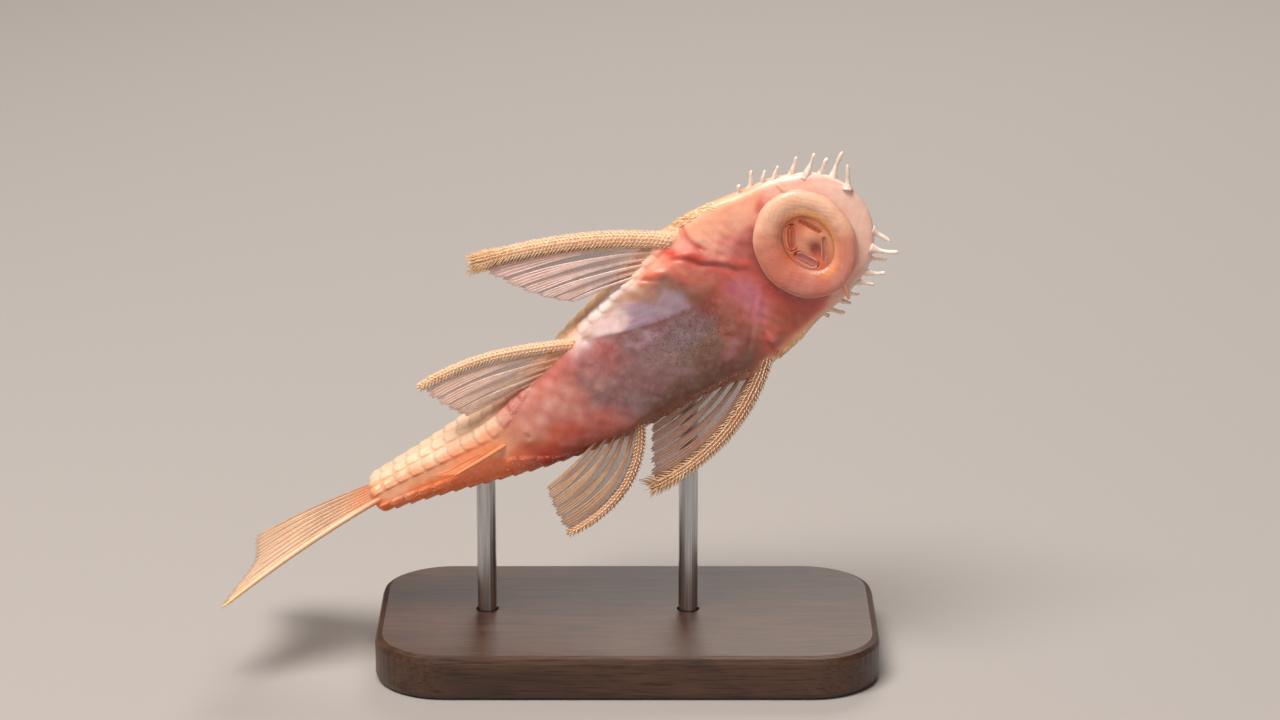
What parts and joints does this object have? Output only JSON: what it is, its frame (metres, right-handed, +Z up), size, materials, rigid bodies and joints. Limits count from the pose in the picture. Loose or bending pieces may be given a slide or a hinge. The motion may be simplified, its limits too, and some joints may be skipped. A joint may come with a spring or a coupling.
{
  "type": "albino bristlenose pleco display model",
  "caption": "Still, life-size albino bristlenose catfish seen belly-on with a sucker mouth, bony plates and spined fins, held on a plain stand by upright rods.",
  "frame": {"origin": "centre of the underside of the stand's base, on the floor", "axes": "+Z up; the fish's belly faces -Y and its head points to +X and up; the base is longest along X"},
  "size_m": [0.1032, 0.043, 0.082],
  "materials": {
    "skin": "moist pale pink and peach skin with orange-red flushes",
    "plates": "cream bony plates with a fine prickly sheen",
    "lips": "soft wet peach lips with fine bumps",
    "teeth": "amber comb teeth",
    "eye": "glossy albino red eye with a cream iris",
    "fin": "clear membrane between cream and pale pink rays",
    "wood": "dark walnut, satin oiled",
    "steel": "satin stainless steel"
  },
  "bodies": {
    "root": {"head": "skin", "torso": "plates", "tail": "plates", "mouth": "lips", "jaw_upper": "teeth", "jaw_lower": "teeth", "eye_left": "eye", "eye_right": "eye", "dorsal_fin": "fin", "adipose_fin": "fin", "anal_fin": "fin", "caudal_fin": "fin", "pectoral_fin_left": "fin", "pectoral_fin_right": "fin", "pelvic_fin_left": "fin", "pelvic_fin_right": "fin", "stand_base": "wood", "stand_rod_front": "steel", "stand_rod_rear": "steel"}
  },
  "joints": []
}
